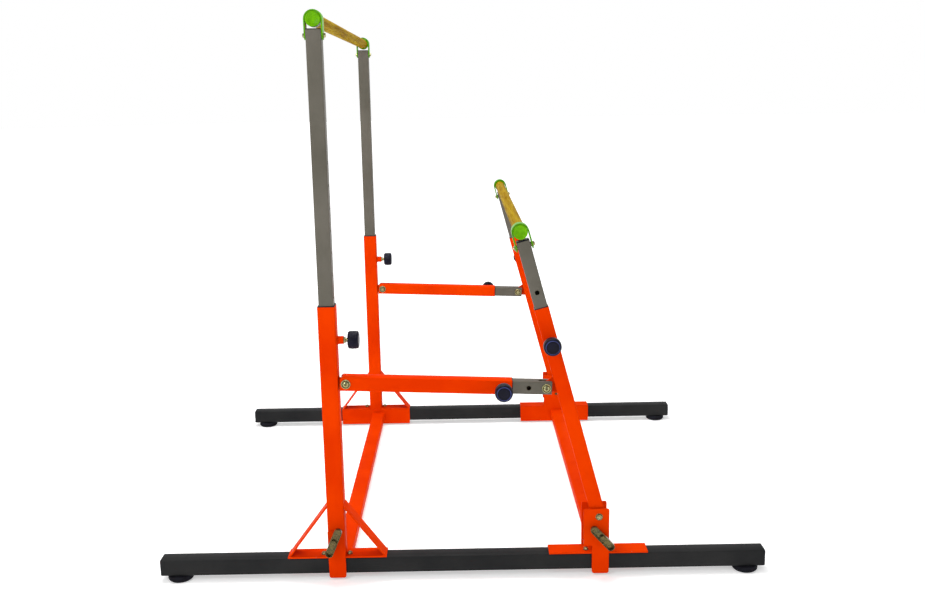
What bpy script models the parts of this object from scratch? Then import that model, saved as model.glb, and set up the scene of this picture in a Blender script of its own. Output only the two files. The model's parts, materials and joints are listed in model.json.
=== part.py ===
"""Uneven parallel bars: two floor rails, a telescopic high bar and a low bar on tilting legs.

Metres, +Z up. X runs along the floor rails, from the high bar (-X) to the low bar (+X).
Y runs along the bars: the front side is -Y and the rear side is +Y. The origin is on the
floor, midway along the rails and midway between them. Every part of one side is the mirror
image of the other side's, so the parts are built with a signed distance "outward" from the
centre line of their own rail.
"""

from collections import namedtuple
from math import atan2, cos, hypot, pi, radians, sin, tan

import bmesh
import bpy

# ---------------------------------------------------------------- driving dimensions

GAP = 0.0003  # air between pieces that touch
SIDES = (("front", -1), ("rear", 1))

# Floor frame
RAIL_LENGTH = 2.150
RAIL_SPACING = 1.660  # centre line to centre line
RAIL_SIZE = 0.060
RAIL_WALL = 0.0025
CAP_FLANGE = 0.004
CAP_INSERT = 0.020
FOOT_HEIGHT = 0.022
FOOT_RADIUS = 0.045
FOOT_INSET = 0.064  # foot centre to rail end
CROSS_WIDTH = 0.060
CROSS_HEIGHT = 0.040
CROSS_BOTTOM = 0.027
CROSS_OFFSET = 0.0125  # cross tubes sit this far towards +X from the posts and pivots

# Rail brackets
HIGH_X = -0.444  # high bar's posts
LOW_X = 0.482  # low bar's base pivots
PLATE = 0.006
BRACKET_LENGTH = 0.350
BRACKET_DROP = 0.014  # side plates reach this far under the rail
STRAP_WIDTH = 0.060
STRAP_TOP = 0.185
BRACE_WIDTH = 0.058
BRACE_THICK = 0.006
BRACE_TOP = 0.278
EAR_TOP = 0.252
EAR_BOTTOM = 0.114  # of the outer ear, above a bolt on the saddle plate
EAR_LEFT = -0.054
EAR_RIGHT = 0.036
CLAMP_Z = 0.154
CLAMP_OFFSETS = {"high": -0.006, "low": 0.009}  # along the rail, from the post or pivot
CLAMP_HOLE = 0.0065

# High bar
POST_SIZE = 0.060
POST_WALL = 0.0025
POST_TOP = 0.991
POST_KNOB_Z = 0.870
MAST_SIZE = 0.050
MAST_WALL = 0.002
MAST_BOTTOM = 0.765
MAST_TOP = 1.893
MAST_HOLE_PITCH = 0.075
MAST_HOLES = 9

# Low bar, measured along the leg from its base pivot
PIVOT_Z = 0.223
LEG_LEAN = radians(15.0)  # stored position: towards the high bar
LEG_SIZE = 0.050
LEG_WALL = 0.002
LEG_BOTTOM = -0.045
LEG_TOP = 0.776
LEG_KNOB = 0.654
STEM_SIZE = 0.045
STEM_WALL = 0.002
STEM_BOTTOM = 0.550
STEM_TOP = 1.012
STEM_HOLE_PITCH = 0.089
STEM_HOLES = 3
LUG_STATION = 0.500
LUG_REACH = 0.0564
LUG_RADIUS = 0.018
LUG_THICK = 0.006

# Arms between the high posts and the low legs, measured along the arm from the post's lug
ARM_X = HIGH_X + 0.0555
ARM_Z = 0.720
ARM_SIZE = 0.050
ARM_WALL = 0.002
ARM_START = -0.0206
ARM_END = 0.569
ARM_KNOB = 0.5385
ROD_SIZE = 0.045
ROD_WALL = 0.002
ROD_START = 0.100
ROD_OVERHANG = 0.019
ROD_HOLES = (0.1815, 0.3715, 0.5385, 0.6268)
FORK_DEPTH = 0.026
FORK_WIDTH = 0.012

# Bars and their saddles
BAR_RADIUS = 0.021
BAR_LIFT = 0.032  # bar centre above the top of its tube
CAP_RADIUS = 0.025
SADDLE_THICK = 0.005
SADDLE_WIDTH = 0.040
SADDLE_TAIL = 0.032  # saddle legs reach this far below the top of the tube
SADDLE_BOLT_DROP = 0.018
CAP_FACE = 0.004

# Fasteners, knobs and clamp handles
BOLT_RADIUS = 0.006
BOLT_HOLE = 0.0065
SMALL_BOLT_RADIUS = 0.005
SMALL_BOLT_HOLE = 0.0055
WASHER_THICK = 0.002
BOLT_FLATS = 0.019  # width across flats
SMALL_BOLT_FLATS = 0.015
SPACER_RADIUS = 0.0085  # fills the room between a saddle and a narrower tube
NUT_FLATS = 0.018
BOSS_RADIUS = 0.014
BOSS_LENGTH = 0.0225
PIN_RADIUS = 0.005
PIN_HOLE = 0.0055
INDEX_HOLE = 0.008
KNOB_RADIUS = 0.031
KNOB_DEPTH = 0.0375
KNOB_STANDOFF = 0.0145
HANDLE_LENGTH = 0.112
HANDLE_WIDTH = 0.028
HANDLE_DEPTH = 0.014
HANDLE_WALL = 0.0022
HANDLE_OUT = 0.0555  # back of the handle, outward from the rail's centre line
CLAMP_TILTS = {"high_front": 67.0, "high_rear": 80.0, "low_front": -48.0, "low_rear": -35.0}

# Derived places
SIDE_Y = RAIL_SPACING / 2
RAIL_Z = FOOT_HEIGHT + RAIL_SIZE / 2
RAIL_TOP = FOOT_HEIGHT + RAIL_SIZE
BRACKET_BOTTOM = FOOT_HEIGHT - BRACKET_DROP
PLATE_LOW = RAIL_TOP + GAP
PLATE_MID = PLATE_LOW + PLATE / 2
PLATE_HIGH = PLATE_LOW + PLATE
CHEEK_NEAR = RAIL_SIZE / 2 + GAP  # faces of the bracket's side plates
CHEEK_FAR = CHEEK_NEAR + PLATE
LUG_X = LOW_X - LUG_REACH * cos(LEG_LEAN) - LUG_STATION * sin(LEG_LEAN)
LUG_Z = PIVOT_Z + LUG_STATION * cos(LEG_LEAN) - LUG_REACH * sin(LEG_LEAN)
ARM_REACH = hypot(LUG_X - ARM_X, LUG_Z - ARM_Z)
ARM_DROP = atan2(ARM_Z - LUG_Z, LUG_X - ARM_X)

FINISHES = {  # colour, roughness, metallic
    "black_powder_coat": ((0.030, 0.030, 0.030), 0.55, 0.0),
    "orange_powder_coat": ((0.800, 0.060, 0.002), 0.40, 0.0),
    "grey_powder_coat": ((0.150, 0.140, 0.115), 0.45, 0.2),
    "green_powder_coat": ((0.120, 0.420, 0.004), 0.40, 0.0),
    "green_plastic": ((0.110, 0.400, 0.006), 0.35, 0.0),
    "wood_grain": ((0.380, 0.190, 0.030), 0.50, 0.0),
    "zinc_plate": ((0.420, 0.390, 0.280), 0.35, 0.9),
    "black_plastic": ((0.020, 0.020, 0.030), 0.45, 0.0),
    "black_rubber": ((0.018, 0.018, 0.018), 0.80, 0.0),
}

# ---------------------------------------------------------------- outlines

Shape = namedtuple("Shape", "sections axis at hollow")

AXES = {
    "X": lambda u, v, w: (w, u, v),
    "Y": lambda u, v, w: (u, w, v),
    "Z": lambda u, v, w: (u, v, w),
}


def circle(radius, count=12):
    """Points on a circle."""
    steps = [2 * pi * i / count for i in range(count)]
    return [(radius * cos(a), radius * sin(a)) for a in steps]


def hexagon(flats, count=12):
    """Points on a hexagon of a given width across flats, evenly spread along its sides."""
    corners = circle(flats / 2 / cos(pi / 6), 6)
    per_side = count // 6
    points = []
    for (u0, v0), (u1, v1) in zip(corners, corners[1:] + corners[:1]):
        for step in range(per_side):
            t = step / per_side
            points.append((u0 + (u1 - u0) * t, v0 + (v1 - v0) * t))
    return points


def rounded_rectangle(width, height, radius, steps=3):
    """Points on a rectangle with round corners."""
    points = []
    for corner, (su, sv) in enumerate(((1, 1), (-1, 1), (-1, -1), (1, -1))):
        cu = su * (width / 2 - radius)
        cv = sv * (height / 2 - radius)
        for step in range(steps + 1):
            angle = pi / 2 * (corner + step / steps)
            points.append((cu + radius * cos(angle), cv + radius * sin(angle)))
    return points


def filleted(corners, steps=4):
    """A polygon from (u, v, fillet radius) corners."""
    points = []
    count = len(corners)
    for i, (u, v, radius) in enumerate(corners):
        if radius == 0:
            points.append((u, v))
            continue
        before = corners[i - 1]
        after = corners[(i + 1) % count]
        a_in = atan2(before[1] - v, before[0] - u)
        a_out = atan2(after[1] - v, after[0] - u)
        turn = (a_out - a_in + pi) % (2 * pi) - pi
        reach = radius / abs(sin(turn / 2))
        mid = a_in + turn / 2
        cu = u + reach * cos(mid)
        cv = v + reach * sin(mid)
        sweep = pi - turn if turn > 0 else -pi - turn
        for step in range(steps + 1):
            angle = mid + pi + sweep * (0.5 - step / steps)
            points.append((cu + radius * cos(angle), cv + radius * sin(angle)))
    return points


# ---------------------------------------------------------------- shapes

def prism(outline, low, high, axis, at=(0, 0, 0)):
    """An outline extruded along an axis."""
    return Shape([(outline, low), (outline, high)], axis, at, False)


def block(size_u, size_v, low, high, axis, at=(0, 0, 0)):
    """A plain rectangular bar along an axis."""
    u, v = size_u / 2, size_v / 2
    return prism([(-u, -v), (u, -v), (u, v), (-u, v)], low, high, axis, at)


def cylinder(radius, low, high, axis, at=(0, 0, 0), count=12):
    """A round bar along an axis."""
    return prism(circle(radius, count), low, high, axis, at)


def turned(profile, axis, at=(0, 0, 0), count=20):
    """A solid turned from (radius, level) points."""
    return Shape([(circle(radius, count), level) for radius, level in profile], axis, at, False)


def box_tube(size_u, size_v, wall, low, high, axis, at=(0, 0, 0)):
    """A rectangular tube with round corners, open at both ends."""
    corner = 0.09 * max(size_u, size_v)
    outer = rounded_rectangle(size_u, size_v, corner)
    inner = rounded_rectangle(size_u - 2 * wall, size_v - 2 * wall, corner - wall)
    return Shape([(outer, low), (outer, high), (inner, high), (inner, low)], axis, at, True)


def square_tube(size, wall, low, high, axis, at=(0, 0, 0)):
    """A square tube with round corners, open at both ends."""
    return box_tube(size, size, wall, low, high, axis, at)


def add_shape(bm, shape):
    """Lofts a shape's sections into a mesh as one closed solid."""
    place = AXES[shape.axis]
    rings = []
    for outline, level in shape.sections:
        ring = []
        for u, v in outline:
            x, y, z = place(u, v, level)
            ring.append(bm.verts.new((x + shape.at[0], y + shape.at[1], z + shape.at[2])))
        rings.append(ring)
    pairs = list(zip(rings, rings[1:]))
    if shape.hollow:
        pairs.append((rings[-1], rings[0]))
    else:
        bm.faces.new(rings[0])
        bm.faces.new(rings[-1])
    count = len(rings[0])
    for low, high in pairs:
        for i in range(count):
            j = (i + 1) % count
            bm.faces.new((low[i], low[j], high[j], high[i]))


# ---------------------------------------------------------------- objects

def clear_scene():
    """Empties the file."""
    for obj in list(bpy.data.objects):
        bpy.data.objects.remove(obj)


def make_finishes():
    """One Principled material for each finish."""
    made = {}
    for name, (colour, roughness, metallic) in FINISHES.items():
        material = bpy.data.materials.new(name)
        material.use_nodes = True
        shader = material.node_tree.nodes["Principled BSDF"]
        shader.inputs["Base Color"].default_value = (*colour, 1.0)
        shader.inputs["Roughness"].default_value = roughness
        shader.inputs["Metallic"].default_value = metallic
        made[name] = material
    return made


def make_frame(name, location, turn=0.0):
    """An empty on a joint's axis, turned about Y."""
    frame = bpy.data.objects.new(name, None)
    frame.location = location
    frame.rotation_euler = (0.0, turn, 0.0)
    bpy.context.scene.collection.objects.link(frame)
    return frame


def make_object(name, shapes, finish, location=(0, 0, 0), frame=None, turn=0.0):
    """One object from separate shapes, in its frame."""
    bm = bmesh.new()
    for shape in shapes:
        add_shape(bm, shape)
    bmesh.ops.recalc_face_normals(bm, faces=bm.faces[:])
    mesh = bpy.data.meshes.new(name)
    bm.to_mesh(mesh)
    bm.free()
    mesh.shade_smooth()
    mesh.set_sharp_from_angle(angle=radians(32))
    obj = bpy.data.objects.new(name, mesh)
    obj.location = location
    obj.rotation_euler = (0.0, turn, 0.0)
    obj.parent = frame
    if finish:
        mesh.materials.append(MATERIALS[finish])
    bpy.context.scene.collection.objects.link(obj)
    return obj


def apply_tool(target, shapes, operation):
    """Joins shapes to a part, or cuts them out of it, with a hidden tool object."""
    label = f"{target.name}_{operation.lower()}_{len(target.modifiers)}"
    tool = make_object(label, shapes, None, target.location, target.parent, target.rotation_euler.y)
    tool.hide_render = True
    tool.display_type = "WIRE"
    modifier = target.modifiers.new(operation.lower(), "BOOLEAN")
    modifier.operation = operation
    modifier.solver = "EXACT"
    modifier.object = tool


def weld(target, *shapes):
    """Welds each shape on to a part."""
    for shape in shapes:
        apply_tool(target, [shape], "UNION")


def drill(target, *shapes):
    """Cuts separate shapes out of a part in one pass."""
    apply_tool(target, list(shapes), "DIFFERENCE")


# ---------------------------------------------------------------- floor frame

def make_rail(side, sign):
    """Floor rail with its end caps and feet."""
    y = sign * SIDE_Y
    half = RAIL_LENGTH / 2
    tube_half = half - CAP_FLANGE - GAP
    tube = square_tube(RAIL_SIZE, RAIL_WALL, -tube_half, tube_half, "X")
    make_object(f"base_rail_{side}", [tube], "black_powder_coat", (0, y, RAIL_Z))
    for end, direction in (("left", -1), ("right", 1)):
        make_rail_cap(f"rail_end_cap_{side}_{end}", direction, (direction * half, y, RAIL_Z))
        foot_x = direction * (half - FOOT_INSET)
        make_foot(f"foot_{side}_{end}", (foot_x, y, 0))


def make_rail_cap(name, direction, location):
    """Plastic plug: an insert inside the rail and a flange with an eased edge."""
    bore = RAIL_SIZE - 2 * RAIL_WALL - 2 * GAP
    insert = rounded_rectangle(bore, bore, 0.0027)
    flange = rounded_rectangle(RAIL_SIZE, RAIL_SIZE, 0.0054)
    eased = rounded_rectangle(RAIL_SIZE - 0.004, RAIL_SIZE - 0.004, 0.0040)
    inner_face = -direction * CAP_FLANGE
    sections = [
        (insert, inner_face - direction * CAP_INSERT),
        (insert, inner_face),
        (flange, inner_face),
        (flange, -direction * 0.0015),
        (eased, 0.0),
    ]
    make_object(name, [Shape(sections, "X", (0, 0, 0), False)], "black_plastic", location)


def make_foot(name, location):
    """Round rubber foot, narrower at the floor."""
    top = FOOT_HEIGHT - GAP
    profile = [
        (FOOT_RADIUS - 0.010, 0.0),
        (FOOT_RADIUS - 0.004, 0.0015),
        (FOOT_RADIUS, 0.0070),
        (FOOT_RADIUS, top - 0.003),
        (FOOT_RADIUS - 0.002, top),
    ]
    make_object(name, [turned(profile, "Z")], "black_rubber", location)


def make_cross_tube(name, x):
    """Floor tube between the front and rear brackets."""
    half = SIDE_Y - CHEEK_FAR - GAP
    tube = box_tube(CROSS_WIDTH, CROSS_HEIGHT, RAIL_WALL, -half, half, "Y")
    location = (x + CROSS_OFFSET, 0, CROSS_BOTTOM + CROSS_HEIGHT / 2)
    make_object(name, [tube], "orange_powder_coat", location)


# ---------------------------------------------------------------- brackets

def saddle_plate():
    """Bracket plate on the rail's top; its edges are buried in the side plates."""
    width = 2 * CHEEK_NEAR + PLATE
    return block(BRACKET_LENGTH, width, PLATE_LOW, PLATE_HIGH, "Z")


def inner_cheek(sign, ears):
    """Side plate against the rail's inner face, with an ear where the leg needs one."""
    half = BRACKET_LENGTH / 2
    corners = [(-half, PLATE_MID, 0), (-half, BRACKET_BOTTOM, 0.004)]
    corners += [(half, BRACKET_BOTTOM, 0.004), (half, PLATE_MID, 0)]
    if ears:
        corners += [(EAR_RIGHT, PLATE_MID, 0), (EAR_RIGHT, EAR_TOP, 0.006)]
        corners += [(EAR_LEFT, EAR_TOP, 0.006), (EAR_LEFT, PLATE_MID, 0)]
    return prism(filleted(corners), -sign * CHEEK_FAR, -sign * CHEEK_NEAR, "Y")


def high_strap(sign):
    """Narrow strap over the rail's outer face and up the foot of the post."""
    half = STRAP_WIDTH / 2
    corners = [(-half, STRAP_TOP, 0.004), (-half, BRACKET_BOTTOM, 0.008)]
    corners += [(half, BRACKET_BOTTOM, 0.008), (half, STRAP_TOP, 0.004)]
    return prism(filleted(corners), sign * CHEEK_NEAR, sign * CHEEK_FAR, "Y")


def low_strap(sign):
    """Outer ear of the leg's fork, which narrows to a strap over the rail's outer face."""
    left = EAR_RIGHT - STRAP_WIDTH
    corners = [
        (EAR_LEFT, EAR_TOP, 0.006),
        (EAR_LEFT, EAR_BOTTOM, 0.004),
        (left, EAR_BOTTOM, 0),
        (left, BRACKET_BOTTOM, 0.008),
        (EAR_RIGHT, BRACKET_BOTTOM, 0.008),
        (EAR_RIGHT, EAR_TOP, 0.006),
    ]
    return prism(filleted(corners), sign * CHEEK_NEAR, sign * CHEEK_FAR, "Y")


def brace(direction):
    """Flat brace from one end of the bracket up to the post."""
    foot = BRACKET_LENGTH / 2 - 0.0005
    head = POST_SIZE / 2 + GAP
    slope = atan2(BRACE_TOP - PLATE_MID, foot - head)
    across = BRACE_THICK / sin(slope)
    down = BRACE_THICK / cos(slope)
    outline = [
        (direction * foot, PLATE_MID),
        (direction * (foot - across), PLATE_MID),
        (direction * head, BRACE_TOP - down),
        (direction * head, BRACE_TOP),
    ]
    return prism(outline, -BRACE_WIDTH / 2, BRACE_WIDTH / 2, "Y")


def make_high_bracket(side, sign):
    """Bracket that seats a high post on its rail."""
    bracket = make_object(
        f"high_post_bracket_{side}", [saddle_plate()], "orange_powder_coat", (HIGH_X, sign * SIDE_Y, 0)
    )
    weld(bracket, inner_cheek(sign, ears=False), high_strap(sign), brace(-1), brace(1))
    drill(bracket, clamp_bore("high", sign, CHEEK_NEAR - PLATE, CHEEK_FAR + PLATE))


def make_low_bracket(side, sign):
    """Fork bracket that a low leg tilts in."""
    bracket = make_object(
        f"low_leg_bracket_{side}", [saddle_plate()], "orange_powder_coat", (LOW_X, sign * SIDE_Y, 0)
    )
    weld(bracket, inner_cheek(sign, ears=True), low_strap(sign))
    reach = CHEEK_FAR + PLATE
    pivot = cylinder(BOLT_HOLE, -reach, reach, "Y", (0, 0, PIVOT_Z))
    drill(bracket, clamp_bore("low", sign, -reach, reach), pivot)


def clamp_bore(bar, sign, low, high):
    """Bore for a clamp screw."""
    return cylinder(CLAMP_HOLE, sign * low, sign * high, "Y", (CLAMP_OFFSETS[bar], 0, CLAMP_Z))


def make_clamp_handle(bar, x, side, sign, screw_start):
    """Clamp screw with a pressed-steel grip: an open tray around a nut."""
    outer = rounded_rectangle(HANDLE_LENGTH, HANDLE_WIDTH, HANDLE_WIDTH / 2 - 0.0001, 6)
    inner_length = HANDLE_LENGTH - 2 * HANDLE_WALL
    inner_width = HANDLE_WIDTH - 2 * HANDLE_WALL
    inner = rounded_rectangle(inner_length, inner_width, inner_width / 2 - 0.0001, 6)
    rim = HANDLE_OUT + HANDLE_DEPTH
    floor = HANDLE_OUT + HANDLE_WALL
    tray = [(outer, sign * HANDLE_OUT), (outer, sign * rim), (inner, sign * rim), (inner, sign * floor)]
    handle = make_object(
        f"clamp_handle_{bar}_{side}",
        [Shape(tray, "Y", (0, 0, 0), False)],
        "zinc_plate",
        (x + CLAMP_OFFSETS[bar], sign * SIDE_Y, CLAMP_Z),
        turn=-radians(CLAMP_TILTS[f"{bar}_{side}"]),
    )
    collar = CHEEK_FAR + GAP
    screw = [
        (BOLT_RADIUS, sign * screw_start),
        (BOLT_RADIUS, sign * collar),
        (0.011, sign * collar),
        (0.011, sign * (HANDLE_OUT + HANDLE_WALL / 2)),
    ]
    nut = prism(hexagon(NUT_FLATS), sign * (floor - 0.001), sign * (floor + 0.009), "Y")
    weld(handle, turned(screw, "Y", count=12), nut)


# ---------------------------------------------------------------- high bar

def boss(low, axis, direction, at):
    """Round boss that guides a knob's pin."""
    return cylinder(BOSS_RADIUS, direction * (low - 0.001), direction * (low + BOSS_LENGTH), axis, at, 16)


def pin_bore(face, wall, axis, direction, at):
    """Bore through a boss and the tube wall behind it."""
    low = face - wall - 0.003
    high = face + BOSS_LENGTH + 0.003
    return cylinder(PIN_HOLE, direction * low, direction * high, axis, at)


def rounded_lug(root, reach, radius, root_half, station=0.0):
    """Lug outline from a tube's face to a round end; root and reach are signed."""
    direction = 1 if reach > root else -1
    points = []
    for step in range(9):
        angle = -pi / 2 + pi * step / 8
        points.append((reach + direction * radius * cos(angle), station + radius * sin(angle)))
    return [(root, station - root_half)] + points + [(root, station + root_half)]


def make_high_post(side, sign):
    """Fixed outer tube of a high post, with its knob boss and the arm's lug."""
    y = sign * SIDE_Y
    tube = square_tube(POST_SIZE, POST_WALL, PLATE_HIGH + GAP, POST_TOP, "Z")
    post = make_object(f"high_post_outer_{side}", [tube], "orange_powder_coat", (HIGH_X, y, 0))
    face = POST_SIZE / 2
    arm_x = ARM_X - HIGH_X
    lug = prism(rounded_lug(face - 0.001, arm_x, LUG_RADIUS, LUG_RADIUS, ARM_Z), -0.004, 0.004, "Y")
    weld(post, boss(face, "X", 1, (0, 0, POST_KNOB_Z)), lug)
    drill(
        post,
        pin_bore(face, POST_WALL, "X", 1, (0, 0, POST_KNOB_Z)),
        cylinder(BOLT_HOLE, -0.010, 0.010, "Y", (arm_x, 0, ARM_Z)),
        clamp_bore("high", sign, face - POST_WALL - 0.004, face + 0.004),
    )


def make_mast(side, sign, frame):
    """Sliding inner tube of a high post, with its row of height holes."""
    y = sign * SIDE_Y
    tube = square_tube(MAST_SIZE, MAST_WALL, MAST_BOTTOM, MAST_TOP, "Z")
    mast = make_object(f"high_post_inner_{side}", [tube], "grey_powder_coat", (0, y, 0), frame)
    near = MAST_SIZE / 2 - MAST_WALL - 0.004
    far = MAST_SIZE / 2 + 0.004
    cutters = [
        cylinder(PIN_HOLE, near, far, "X", (0, 0, POST_KNOB_Z + i * MAST_HOLE_PITCH))
        for i in range(MAST_HOLES)
    ]
    bolt_z = MAST_TOP - SADDLE_BOLT_DROP
    cutters.append(cylinder(SMALL_BOLT_HOLE, -0.030, 0.030, "X", (0, 0, bolt_z)))
    drill(mast, *cutters)


# ---------------------------------------------------------------- bar, saddles and end caps

def saddle_outline(inner, outer, centre, bottom, steps=12):
    """Inverted U, open downwards."""
    arch = [pi * i / steps for i in range(steps + 1)]
    outside = [(outer * cos(a), centre + outer * sin(a)) for a in arch]
    inside = [(inner * cos(a), centre + inner * sin(a)) for a in reversed(arch)]
    return [(outer, bottom)] + outside + [(-outer, bottom), (-inner, bottom)] + inside + [(inner, bottom)]


def make_saddle(name, y, tube_top, frame):
    """Strap bent over the bar's end and bolted to both sides of its tube."""
    inner = CAP_RADIUS + GAP
    outer = inner + SADDLE_THICK
    bottom = tube_top - SADDLE_TAIL
    half = SADDLE_WIDTH / 2
    outline = saddle_outline(inner, outer, tube_top + BAR_LIFT, bottom)
    saddle = make_object(name, [prism(outline, -half, half, "Y")], "green_powder_coat", (0, y, 0), frame)
    reach = outer + 0.005
    cutters = [cylinder(SMALL_BOLT_HOLE, -reach, reach, "X", (0, 0, tube_top - SADDLE_BOLT_DROP))]
    for corner in (-1, 1):
        wedge = [
            (corner * (half + 0.003), bottom - 0.003),
            (corner * (half + 0.003), bottom + 0.014),
            (corner * (half - 0.014), bottom - 0.003),
        ]
        cutters.append(prism(wedge, -reach, reach, "X"))
    drill(saddle, *cutters)


def make_end_cap(name, y, sign, centre, frame):
    """Cup over the bar's end, filling the saddle."""
    half = SADDLE_WIDTH / 2
    bore = BAR_RADIUS + GAP
    profile = [
        (bore, sign * (half + GAP)),
        (bore, -sign * half),
        (CAP_RADIUS, -sign * half),
        (CAP_RADIUS, sign * (half + CAP_FACE - 0.0015)),
        (CAP_RADIUS - 0.002, sign * (half + CAP_FACE)),
    ]
    make_object(name, [turned(profile, "Y", (0, 0, centre), 24)], "green_plastic", (0, y, 0), frame)


def make_bar(name, centre, frame):
    """Round bar from saddle to saddle."""
    half = SIDE_Y + SADDLE_WIDTH / 2
    bar = cylinder(BAR_RADIUS, -half, half, "Y", (0, 0, centre), 24)
    make_object(name, [bar], "wood_grain", (0, 0, 0), frame)


def bolt(grip, shank, washer, flats, axis, at, direction=1, far_end=True, tube=None):
    """Hexagon bolt through a grip; the far end has its own washer and nut.

    Spacers on the shank reach from a strap's inner faces to a narrower tube, if its size is given.
    """
    half = grip / 2 + GAP
    head = 0.35 * flats
    near = [(hexagon(flats), half + WASHER_THICK + head), (hexagon(flats), half + WASHER_THICK)]
    near += [(circle(washer), half + WASHER_THICK), (circle(washer), half), (circle(shank), half)]
    if tube is not None:
        high = grip / 2 - SADDLE_THICK - GAP
        low = tube / 2 + GAP
        near += [(circle(shank), high), (circle(SPACER_RADIUS), high)]
        near += [(circle(SPACER_RADIUS), low), (circle(shank), low)]
    far = [(outline, -level) for outline, level in reversed(near)]
    sections = near + (far if far_end else [])
    return Shape([(outline, direction * level) for outline, level in sections], axis, at, False)


def make_bar_set(prefix, tube_size, tube_top, frame):
    """Bar with its saddles, saddle bolts and end caps on both tubes."""
    centre = tube_top + BAR_LIFT
    make_bar(prefix, centre, frame)
    for side, sign in SIDES:
        y = sign * SIDE_Y
        make_saddle(f"{prefix}_saddle_{side}", y, tube_top, frame)
        make_end_cap(f"{prefix}_end_cap_{side}", y, sign, centre, frame)
        grip = 2 * (CAP_RADIUS + GAP + SADDLE_THICK)
        at = (0, 0, tube_top - SADDLE_BOLT_DROP)
        spaced = tube_size if tube_size < 2 * CAP_RADIUS else None
        through = bolt(grip, SMALL_BOLT_RADIUS, 0.0095, SMALL_BOLT_FLATS, "X", at, tube=spaced)
        make_object(f"{prefix}_saddle_bolt_{side}", [through], "zinc_plate", (0, y, 0), frame)


# ---------------------------------------------------------------- low legs and arms

def make_leg(side, sign, frame):
    """Tilting outer tube of a low leg, with its knob boss and the arm's lug."""
    y = sign * SIDE_Y
    tube = square_tube(LEG_SIZE, LEG_WALL, LEG_BOTTOM, LEG_TOP, "Z")
    leg = make_object(f"low_leg_outer_{side}", [tube], "orange_powder_coat", (0, y, 0), frame)
    face = LEG_SIZE / 2
    outline = rounded_lug(-face + 0.001, -LUG_REACH, LUG_RADIUS, 0.028, LUG_STATION)
    lug = prism(outline, -LUG_THICK / 2, LUG_THICK / 2, "Y")
    weld(leg, boss(face, "Y", sign, (0, 0, LEG_KNOB)), lug)
    drill(
        leg,
        pin_bore(face, LEG_WALL, "Y", sign, (0, 0, LEG_KNOB)),
        cylinder(BOLT_HOLE, -0.010, 0.010, "Y", (-LUG_REACH, 0, LUG_STATION)),
        cylinder(BOLT_HOLE, -0.030, 0.030, "Y"),
    )


def make_stem(side, sign, frame):
    """Sliding inner tube of a low leg."""
    y = sign * SIDE_Y
    tube = square_tube(STEM_SIZE, STEM_WALL, STEM_BOTTOM, STEM_TOP, "Z")
    stem = make_object(f"low_leg_inner_{side}", [tube], "grey_powder_coat", (0, y, 0), frame)
    near = sign * (STEM_SIZE / 2 - STEM_WALL - 0.004)
    far = sign * (STEM_SIZE / 2 + 0.004)
    cutters = [
        cylinder(INDEX_HOLE, near, far, "Y", (0, 0, LEG_KNOB + i * STEM_HOLE_PITCH))
        for i in range(STEM_HOLES)
    ]
    cutters.append(cylinder(SMALL_BOLT_HOLE, -0.030, 0.030, "X", (0, 0, STEM_TOP - SADDLE_BOLT_DROP)))
    drill(stem, *cutters)


def make_arm(side, sign, frame):
    """Outer tube of an arm, hinged on the high post."""
    tube = square_tube(ARM_SIZE, ARM_WALL, ARM_START, ARM_END, "X")
    arm = make_object(f"arm_outer_{side}", [tube], "orange_powder_coat", frame=frame)
    face = ARM_SIZE / 2
    weld(arm, boss(face, "Y", sign, (ARM_KNOB, 0, 0)))
    chamfer = [
        (ARM_START - 0.002, face - 0.010),
        (ARM_START - 0.002, face + 0.002),
        (ARM_START + 0.010, face + 0.002),
    ]
    drill(
        arm,
        pin_bore(face, ARM_WALL, "Y", sign, (ARM_KNOB, 0, 0)),
        cylinder(BOLT_HOLE, -0.030, 0.030, "Y"),
        prism(chamfer, -0.030, 0.030, "Y"),
    )


def make_rod(side, sign, frame):
    """Sliding inner tube of an arm; its end is slotted to straddle the leg's lug."""
    end = ARM_REACH + ROD_OVERHANG
    tube = square_tube(ROD_SIZE, ROD_WALL, ROD_START, end, "X")
    rod = make_object(f"arm_inner_{side}", [tube], "grey_powder_coat", frame=frame)
    half = ROD_SIZE / 2
    near = sign * (half - ROD_WALL - 0.004)
    far = sign * (half + 0.004)
    holes = [cylinder(INDEX_HOLE, near, far, "Y", (station, 0, 0)) for station in ROD_HOLES]
    slot = block(FORK_WIDTH, ROD_SIZE + 0.015, ARM_REACH - FORK_DEPTH, end + 0.010, "X")
    drill(rod, cylinder(BOLT_HOLE, -0.035, 0.035, "Y", (ARM_REACH, 0, 0)), *holes)
    drill(rod, slot)


def make_knob(name, face, tip, axis, direction, location, frame=None):
    """Pull knob with its locking pin; levels run outward from the tube's centre line."""
    back = face + BOSS_LENGTH + KNOB_STANDOFF
    front = back + KNOB_DEPTH
    profile = [
        (PIN_RADIUS - 0.001, tip),
        (PIN_RADIUS, tip + 0.001),
        (PIN_RADIUS, back),
        (KNOB_RADIUS - 0.007, back),
        (KNOB_RADIUS - 0.002, back + 0.003),
        (KNOB_RADIUS, back + 0.012),
        (KNOB_RADIUS, front - 0.012),
        (KNOB_RADIUS - 0.002, front - 0.003),
        (KNOB_RADIUS - 0.006, front),
        (KNOB_RADIUS - 0.009, front),
        (KNOB_RADIUS - 0.011, front - 0.002),
    ]
    levels = [(radius, direction * level) for radius, level in profile]
    make_object(name, [turned(levels, axis)], "black_plastic", location, frame)


def make_end_fastener(name, direction, frame):
    """Half of the bolt at an arm's free end; its shank stops short of the leg's lug."""
    at = (ARM_REACH, 0, 0)
    half = bolt(ROD_SIZE, BOLT_RADIUS, 0.0160, BOLT_FLATS, "Y", at, direction, far_end=False)
    stub = LUG_THICK / 2 + 0.0012
    sections = half.sections + [(circle(BOLT_RADIUS), direction * stub)]
    make_object(name, [Shape(sections, "Y", at, False)], "zinc_plate", frame=frame)


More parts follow.
